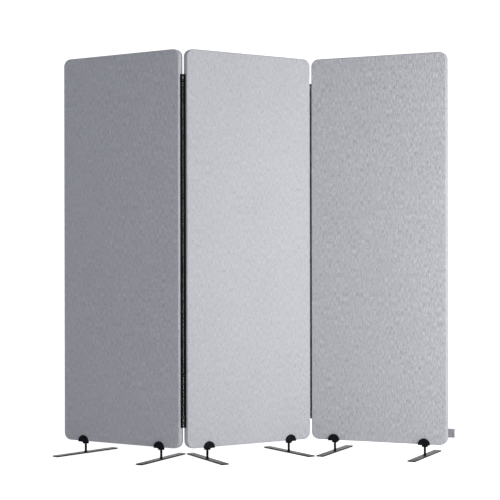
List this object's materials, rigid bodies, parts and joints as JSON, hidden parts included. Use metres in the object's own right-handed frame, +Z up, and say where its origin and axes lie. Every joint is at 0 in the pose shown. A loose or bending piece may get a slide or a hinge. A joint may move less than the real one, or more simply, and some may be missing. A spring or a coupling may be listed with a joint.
{
  "type": "folding partition wall",
  "caption": "Freestanding folding partition wall of fabric-covered acoustic panels zipped edge to edge, standing on clamped bar feet.",
  "frame": {"origin": "on the floor, in the middle of the wall's bounding box, panels folded in a shallow zigzag", "axes": "+X along the run of the wall, to the right as seen from the front; +Y away from the front; +Z up"},
  "size_m": [1.7218, 0.541, 1.7306],
  "materials": {
    "linen_cover": "heathered pale grey linen weave",
    "panel_core": "pressed polyester felt board",
    "tag_fabric": "folded woven tag, blank",
    "zip_tape": "black woven zip tape",
    "zip_coil": "black nylon coil",
    "zip_fittings": "black moulded",
    "zip_metal": "black enamel",
    "foot_steel": "black powder coat",
    "stem_steel": "black powder coat",
    "clamp_plastic": "black glass-filled nylon, fine moulded grain",
    "knob_plastic": "black moulded",
    "pad_rubber": "matte",
    "screw_steel": "zinc plated"
  },
  "bodies": {
    "left_panel": {"left_panel_core": "panel_core", "left_front_cover": "linen_cover", "left_rear_cover": "linen_cover", "left_edge_band": "linen_cover", "left_panel_zip_tape": "zip_tape", "left_outer_floor_bar": "foot_steel", "left_outer_stem": "stem_steel", "left_outer_clamp_body": "clamp_plastic", "left_inner_floor_bar": "foot_steel", "left_inner_stem": "stem_steel", "left_inner_clamp_body": "clamp_plastic", "left_foot_base_screws": "screw_steel", "left_floor_pads": "pad_rubber"},
    "middle_panel": {"middle_panel_core": "panel_core", "middle_front_cover": "linen_cover", "middle_rear_cover": "linen_cover", "middle_edge_band": "linen_cover", "middle_panel_zip_tapes": "zip_tape", "middle_left_floor_bar": "foot_steel", "middle_left_stem": "stem_steel", "middle_left_clamp_body": "clamp_plastic", "middle_right_floor_bar": "foot_steel", "middle_right_stem": "stem_steel", "middle_right_clamp_body": "clamp_plastic", "middle_foot_base_screws": "screw_steel", "middle_floor_pads": "pad_rubber"},
    "right_panel": {"right_panel_core": "panel_core", "right_front_cover": "linen_cover", "right_rear_cover": "linen_cover", "right_edge_band": "linen_cover", "right_panel_zip_tape": "zip_tape", "right_inner_floor_bar": "foot_steel", "right_inner_stem": "stem_steel", "right_inner_clamp_body": "clamp_plastic", "right_outer_floor_bar": "foot_steel", "right_outer_stem": "stem_steel", "right_outer_clamp_body": "clamp_plastic", "right_foot_base_screws": "screw_steel", "right_floor_pads": "pad_rubber", "side_tag": "tag_fabric"},
    "left_zip_chain": {"left_zip_coils": "zip_coil", "left_zip_end_fittings": "zip_fittings"},
    "left_zip_slider": {"left_zip_slider": "zip_metal"},
    "left_zip_pull_tab": {"left_zip_pull_tab": "zip_metal"},
    "right_zip_chain": {"right_zip_coils": "zip_coil", "right_zip_end_fittings": "zip_fittings"},
    "right_zip_slider": {"right_zip_slider": "zip_metal"},
    "right_zip_pull_tab": {"right_zip_pull_tab": "zip_metal"},
    "left_outer_pressure_pad": {"left_outer_pressure_pad": "pad_rubber"},
    "left_outer_clamp_screw": {"left_outer_clamp_screw": "knob_plastic"},
    "left_inner_pressure_pad": {"left_inner_pressure_pad": "pad_rubber"},
    "left_inner_clamp_screw": {"left_inner_clamp_screw": "knob_plastic"},
    "middle_left_pressure_pad": {"middle_left_pressure_pad": "pad_rubber"},
    "middle_left_clamp_screw": {"middle_left_clamp_screw": "knob_plastic"},
    "middle_right_pressure_pad": {"middle_right_pressure_pad": "pad_rubber"},
    "middle_right_clamp_screw": {"middle_right_clamp_screw": "knob_plastic"},
    "right_inner_pressure_pad": {"right_inner_pressure_pad": "pad_rubber"},
    "right_inner_clamp_screw": {"right_inner_clamp_screw": "knob_plastic"},
    "right_outer_pressure_pad": {"right_outer_pressure_pad": "pad_rubber"},
    "right_outer_clamp_screw": {"right_outer_clamp_screw": "knob_plastic"}
  },
  "joints": [
    {"name": "left_zip_fold", "type": "hinge", "parent": "middle_panel", "child": "left_zip_chain", "pos_m": [-0.28428, -0.16551, 0.9], "axis": [0, 0, 1], "range_deg": [0, 54]},
    {"name": "left_panel_fold", "type": "hinge", "parent": "left_zip_chain", "child": "left_panel", "pos_m": [-0.29428, -0.16557, 0.9], "axis": [0, 0, 1], "range_deg": [0, 54]},
    {"name": "left_zip_slider_travel", "type": "slide", "parent": "left_zip_chain", "child": "left_zip_slider", "axis": [0, 0, 1], "range_m": [0, 1.4229]},
    {"name": "left_zip_pull_tab_swing", "type": "hinge", "parent": "left_zip_slider", "child": "left_zip_pull_tab", "pos_m": [-0.28925, -0.16997, 0.18013], "axis": [-1, -0.0061, 0], "range_deg": [0, 170]},
    {"name": "right_zip_fold", "type": "hinge", "parent": "middle_panel", "child": "right_zip_chain", "pos_m": [0.24907, 0.14865, 0.9], "axis": [0, 0, 1], "range_deg": [0, 54.5]},
    {"name": "right_panel_fold", "type": "hinge", "parent": "right_zip_chain", "child": "right_panel", "pos_m": [0.25904, 0.14944, 0.9], "axis": [0, 0, 1], "range_deg": [0, 54.5]},
    {"name": "right_zip_slider_travel", "type": "slide", "parent": "right_zip_chain", "child": "right_zip_slider", "axis": [0, 0, 1], "range_m": [0, 1.4229]},
    {"name": "right_zip_pull_tab_swing", "type": "hinge", "parent": "right_zip_slider", "child": "right_zip_pull_tab", "pos_m": [0.2544, 0.14463, 0.18013], "axis": [-0.9969, -0.0785, 0], "range_deg": [0, 170]},
    {"name": "left_outer_pad_travel", "type": "slide", "parent": "left_panel", "child": "left_outer_pressure_pad", "axis": [0.497, 0.8678, 0], "range_m": [0, 0.003]},
    {"name": "left_outer_clamp_screw_turn", "type": "hinge", "parent": "left_outer_pressure_pad", "child": "left_outer_clamp_screw", "pos_m": [-0.72396, 0.10494, 0.0667], "axis": [0.497, 0.8678, 0], "range_deg": [0, 865]},
    {"name": "left_inner_pad_travel", "type": "slide", "parent": "left_panel", "child": "left_inner_pressure_pad", "axis": [0.497, 0.8678, 0], "range_m": [0, 0.003]},
    {"name": "left_inner_clamp_screw_turn", "type": "hinge", "parent": "left_inner_pressure_pad", "child": "left_inner_clamp_screw", "pos_m": [-0.37673, -0.09392, 0.0667], "axis": [0.497, 0.8678, 0], "range_deg": [0, 865]},
    {"name": "middle_left_pad_travel", "type": "slide", "parent": "middle_panel", "child": "middle_left_pressure_pad", "axis": [-0.5075, 0.8616, 0], "range_m": [0, 0.003]},
    {"name": "middle_left_clamp_screw_turn", "type": "hinge", "parent": "middle_left_pressure_pad", "child": "middle_left_clamp_screw", "pos_m": [-0.20271, -0.09286, 0.0667], "axis": [-0.5075, 0.8616, 0], "range_deg": [0, 865]},
    {"name": "middle_right_pad_travel", "type": "slide", "parent": "middle_panel", "child": "middle_right_pressure_pad", "axis": [-0.5075, 0.8616, 0], "range_m": [0, 0.003]},
    {"name": "middle_right_clamp_screw_turn", "type": "hinge", "parent": "middle_right_pressure_pad", "child": "middle_right_clamp_screw", "pos_m": [0.14511, 0.11202, 0.0667], "axis": [-0.5075, 0.8616, 0], "range_deg": [0, 865]},
    {"name": "right_inner_pad_travel", "type": "slide", "parent": "right_panel", "child": "right_inner_pressure_pad", "axis": [0.3665, 0.9304, 0], "range_m": [0, 0.003]},
    {"name": "right_inner_clamp_screw_turn", "type": "hinge", "parent": "right_inner_pressure_pad", "child": "right_inner_clamp_screw", "pos_m": [0.36745, 0.12952, 0.0667], "axis": [0.3665, 0.9304, 0], "range_deg": [0, 865]},
    {"name": "right_outer_pad_travel", "type": "slide", "parent": "right_panel", "child": "right_outer_pressure_pad", "axis": [0.3665, 0.9304, 0], "range_m": [0, 0.003]},
    {"name": "right_outer_clamp_screw_turn", "type": "hinge", "parent": "right_outer_pressure_pad", "child": "right_outer_clamp_screw", "pos_m": [0.74532, -0.01933, 0.0667], "axis": [0.3665, 0.9304, 0], "range_deg": [0, 865]}
  ],
  "couplings": [
    {"joint": "left_panel_fold", "follows": "left_zip_fold", "ratio": 1},
    {"joint": "right_panel_fold", "follows": "right_zip_fold", "ratio": 1},
    {"joint": "left_outer_clamp_screw_turn", "follows": "left_outer_pad_travel", "rad_per_m": 5026.5},
    {"joint": "left_inner_clamp_screw_turn", "follows": "left_inner_pad_travel", "rad_per_m": 5026.5},
    {"joint": "middle_left_clamp_screw_turn", "follows": "middle_left_pad_travel", "rad_per_m": 5026.5},
    {"joint": "middle_right_clamp_screw_turn", "follows": "middle_right_pad_travel", "rad_per_m": 5026.5},
    {"joint": "right_inner_clamp_screw_turn", "follows": "right_inner_pad_travel", "rad_per_m": 5026.5},
    {"joint": "right_outer_clamp_screw_turn", "follows": "right_outer_pad_travel", "rad_per_m": 5026.5}
  ]
}
